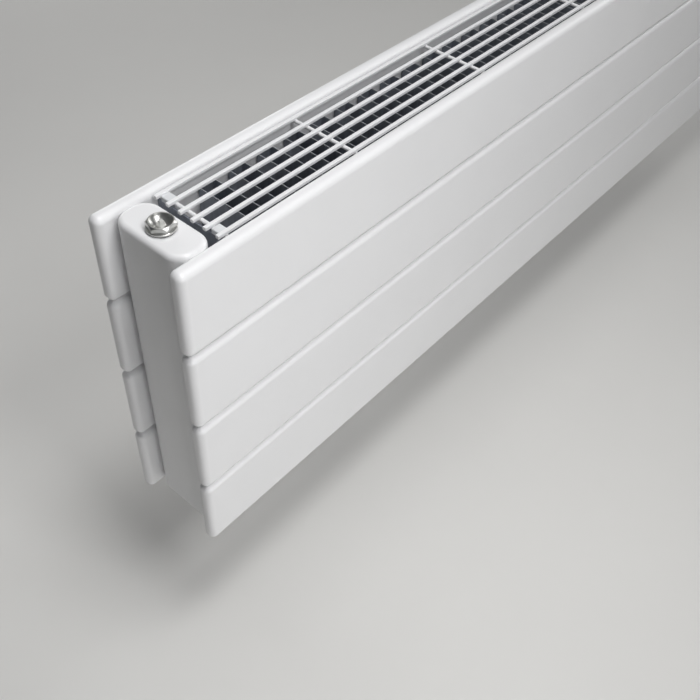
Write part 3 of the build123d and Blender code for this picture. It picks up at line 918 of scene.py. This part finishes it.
class RADIATOR_OT_vent_screw(bpy.types.Operator):
    """Vent screw: needle, threaded stem and tapered square head"""
    bl_idname = "radiator.vent_screw"
    bl_label = "Vent screw"

    def execute(self, context):
        shapes = settings()[0]
        tip, run_out, neck_drop, nick, bevel = 0.6 * MM, 0.5 * MM, 0.3 * MM, 0.1 * MM, 0.15 * MM
        low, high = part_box("vent_screw")
        stem, foot = low.z + shapes.needle, high.z - shapes.key_height
        depth = SCREW_THREAD_DEPTH * shapes.screw_pitch
        root = shapes.screw - depth
        # A rounded square: one over the root of the summed powers of cosine and sine.
        angle = np.linspace(0, FULL_TURN, AROUND, endpoint=False)
        powers = np.abs(np.cos(angle)) ** KEY_BLUNTNESS + np.abs(np.sin(angle)) ** KEY_BLUNTNESS
        square = powers ** (-1 / KEY_BLUNTNESS)
        key_foot, key_tip = square * shapes.key_foot / 2, square * shapes.key_tip / 2
        neck = min(root, shapes.key_foot / 2) - nick
        rows = [(0.0, low.z), (tip, low.z), (root, stem)]
        rows += thread_rows(shapes.screw, depth, shapes.screw_pitch, stem, foot - run_out)
        rows += [(neck, foot - neck_drop), (neck, foot), (key_foot - nick, foot),
                 (key_foot, foot + nick), (key_tip, high.z - bevel), (key_tip - bevel, high.z),
                 (0.0, high.z)]
        made = piece("vent_screw_turned", [turned_about("vent_screw", rows)], "screw")
        stand_for(made, "vent_screw", "screw_steel", "vent_screw")
        return {"FINISHED"}


class RADIATOR_OT_sockets(bpy.types.Operator):
    """Threaded pipe sockets under the collectors, with the weld round each"""
    bl_idname = "radiator.sockets"
    bl_label = "Pipe sockets"

    def execute(self, context):
        shapes = settings()[0]
        chamfer, clear, lead_in, run_out = 1.0 * MM, 0.2 * MM, 0.8 * MM, 0.4 * MM
        weld_around, weld_section = 240, 12
        bore, pitch = shapes.socket_bore, shapes.socket_pitch
        depth = SOCKET_THREAD_DEPTH * pitch
        mouth = bore + depth + clear
        beads = []
        for node, end in (("supply_socket", "left"), ("return_socket", "right")):
            low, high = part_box(node)
            outer = middle_and_size(node)[1][0] / 2
            rows = [(outer - chamfer, low.z), (outer, low.z + chamfer), (outer, high.z),
                    (mouth, high.z)]
            rows += thread_rows(bore, depth, pitch, low.z + lead_in, high.z - run_out,
                                outside=False)[::-1]
            rows += [(mouth, low.z)]
            enamelled(node + "_turned", [turned_about(node, rows)], node, ring=True)
            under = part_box(f"{end}_collector")[0].z
            share = np.linspace(0, FULL_TURN, weld_around, endpoint=False)
            ripple = np.abs(np.sin(share * outer / shapes.ripple / 2))
            swell = shapes.weld_radius * (1 + RIPPLE_SWELL * ripple)
            rows = [(outer + swell * math.cos(a), under + swell * math.sin(a))
                    for a in np.linspace(0, FULL_TURN, weld_section, endpoint=False)]
            beads.append(turned_about(node, rows, weld_around))
        enamelled("socket_welds", beads, sharp=SHARP_WELD, ring=True)
        return {"FINISHED"}


class RADIATOR_OT_hangers(bpy.types.Operator):
    """Hanging rails, wall brackets, hook liners and lift locks"""
    bl_idname = "radiator.hangers"
    bl_label = "Hangers"

    def execute(self, context):
        for end in ENDS:
            for node, finish, body, slot in (
                    (f"{end}_hanging_rail", "enamel", "radiator", "enamelled_steel"),
                    (f"{end}_wall_bracket", "bracket", "radiator", "bracket_steel"),
                    (f"{end}_lift_lock", "nylon", f"{end}_lock", "nylon")):
                stand_for(softened(node, finish), body, slot, node)
            dress(f"{end}_top_boss", "bare")
        stand_for(softened("hook_liners", "nylon"), "radiator", "nylon", "hook_liners")
        dress("waterway_ferrules", "bare")
        return {"FINISHED"}


# Camera: its place in metres, and its turn in degrees.
CAMERA_PLACE = (-0.79017, -0.42369, 0.48895)
CAMERA_YAW, CAMERA_PITCH, CAMERA_ROLL = 51.877, 46.783, -3.576
SENSOR_MM = 36.0

# Each light: name, place, width, height, spread in degrees and aim. Its power is the setting that
# starts with the same word.
LIGHTS = (
    ("key_light", (-0.48, -0.78, 0.95), 0.35, 0.35, 120, "left end"),
    ("high_light", (-0.30, -0.42, 1.65), 0.5, 0.5, 120, "left end"),
    ("low_light", (-0.70, -1.3, 0.25), 0.7, 0.4, 120, "left end"),
    ("top_light", (-0.35, 0.45, 1.45), 0.8, 0.5, 120, "left end"),
    ("side_light", (1.25, -1.15, 0.75), 1.3, 0.7, 180, "left end"),
    ("back_light", (0.5, 1.9, 0.7), 1.4, 0.9, 180, "middle"),
    ("end_light", (2.1, -0.3, 0.7), 0.8, 0.8, 120, "middle"),
)
SKY_COLOUR = (0.92, 0.95, 1.0, 1.0)
FLOOR_REACH = 6.0           # from the middle of the floor to its edge


def studio_light(name, place_at, aim, width, height, power, spread):
    """A rectangular soft light aimed at a point, with its spread in degrees."""
    lamp = bpy.data.lights.new(name, "AREA")
    lamp.shape = "RECTANGLE"
    lamp.size, lamp.size_y, lamp.energy = width, height, power
    lamp.spread = math.radians(spread)
    made = bpy.data.objects.new(name, lamp)
    made.location = place_at
    away = Vector(aim) - Vector(place_at)
    made.rotation_euler = away.to_track_quat("-Z", "Y").to_euler()
    made.visible_camera = False
    bpy.context.scene.collection.objects.link(made)


def camera_turn():
    """The camera's turn: forward from yaw and pitch, then a roll about the line of sight."""
    yaw, pitch, roll = (math.radians(v) for v in (CAMERA_YAW, CAMERA_PITCH, CAMERA_ROLL))
    ahead = Vector((math.sin(yaw) * math.cos(pitch), math.cos(yaw) * math.cos(pitch),
                    -math.sin(pitch)))
    right = Vector((math.cos(yaw), -math.sin(yaw), 0))
    down = ahead.cross(right)
    across = right * math.cos(roll) + down * math.sin(roll)
    below = down * math.cos(roll) - right * math.sin(roll)
    return Matrix((across, -below, -ahead)).transposed()


class RADIATOR_OT_stage(bpy.types.Operator):
    """Floor, soft lights and camera"""
    bl_idname = "radiator.stage"
    bl_label = "Stage"

    def execute(self, context):
        scene, stage = context.scene, settings()[2]
        level = CAD_BOX[0].z - stage.floor_drop
        mesh = bpy.data.meshes.new("studio_floor")
        corners = [(FLOOR_REACH * x, FLOOR_REACH * y, level)
                   for x, y in ((-1, -1), (1, -1), (1, 1), (-1, 1))]
        mesh.from_pydata(corners, [], [(0, 1, 2, 3)])
        mesh.materials.append(finish_named("floor"))
        floor = bpy.data.objects.new("studio_floor", mesh)
        scene.collection.objects.link(floor)

        middle = (CAD_BOX[0] + CAD_BOX[1]) / 2
        aims = {"middle": middle, "left end": Vector((CAD_BOX[0].x, middle.y, 0.0))}
        for name, spot, width, height, spread, aim in LIGHTS:
            power = getattr(stage, name.split("_")[0] + "_power")
            studio_light(name, spot, aims[aim], width, height, power, spread)
        world = bpy.data.worlds.new("even_sky")
        world.use_nodes = True
        sky = world.node_tree.nodes["Background"]
        sky.inputs["Color"].default_value = SKY_COLOUR
        sky.inputs["Strength"].default_value = stage.sky
        scene.world = world

        data = bpy.data.cameras.new("studio_camera")
        data.lens, data.sensor_width, data.clip_start = stage.lens, SENSOR_MM, 0.01
        camera = bpy.data.objects.new("studio_camera", data)
        camera.matrix_world = Matrix.Translation(CAMERA_PLACE) @ camera_turn().to_4x4()
        scene.collection.objects.link(camera)
        scene.camera = camera
        scene.view_settings.view_transform = "Standard"
        return {"FINISHED"}


OPERATORS = (RADIATOR_OT_panels, RADIATOR_OT_collectors, RADIATOR_OT_welds, RADIATOR_OT_grille,
             RADIATOR_OT_clips, RADIATOR_OT_convector, RADIATOR_OT_plugs, RADIATOR_OT_vent_screw,
             RADIATOR_OT_sockets, RADIATOR_OT_hangers, RADIATOR_OT_stage)


class RADIATOR_PT_panel(bpy.types.Panel):
    """Builds the radiator piece by piece"""
    bl_idname = "RADIATOR_PT_panel"
    bl_label = "Flat-tube radiator"
    bl_space_type = "VIEW_3D"
    bl_region_type = "UI"
    bl_category = "Radiator"

    def draw(self, context):
        for group in settings():
            for name in group.bl_rna.properties.keys():
                if name not in ("rna_type", "name"):
                    self.layout.prop(group, name)
        for operator in OPERATORS:
            self.layout.operator(operator.bl_idname)


CLASSES = (RadiatorShapes, RadiatorFinish, RadiatorStage) + OPERATORS + (RADIATOR_PT_panel,)


def register():
    """Registers the classes and hangs the settings on the scene."""
    for kind in CLASSES:
        bpy.utils.register_class(kind)
    bpy.types.Scene.radiator_shapes = PointerProperty(type=RadiatorShapes)
    bpy.types.Scene.radiator_finish = PointerProperty(type=RadiatorFinish)
    bpy.types.Scene.radiator_stage = PointerProperty(type=RadiatorStage)


def unregister():
    """Takes the settings and the classes away again."""
    for name in ("radiator_shapes", "radiator_finish", "radiator_stage"):
        delattr(bpy.types.Scene, name)
    for kind in reversed(CLASSES):
        bpy.utils.unregister_class(kind)


def main():
    """Builds every piece in order."""
    register()
    for operator in OPERATORS:
        group, name = operator.bl_idname.split(".")
        getattr(getattr(bpy.ops, group), name)()


if __name__ == "__main__":
    main()
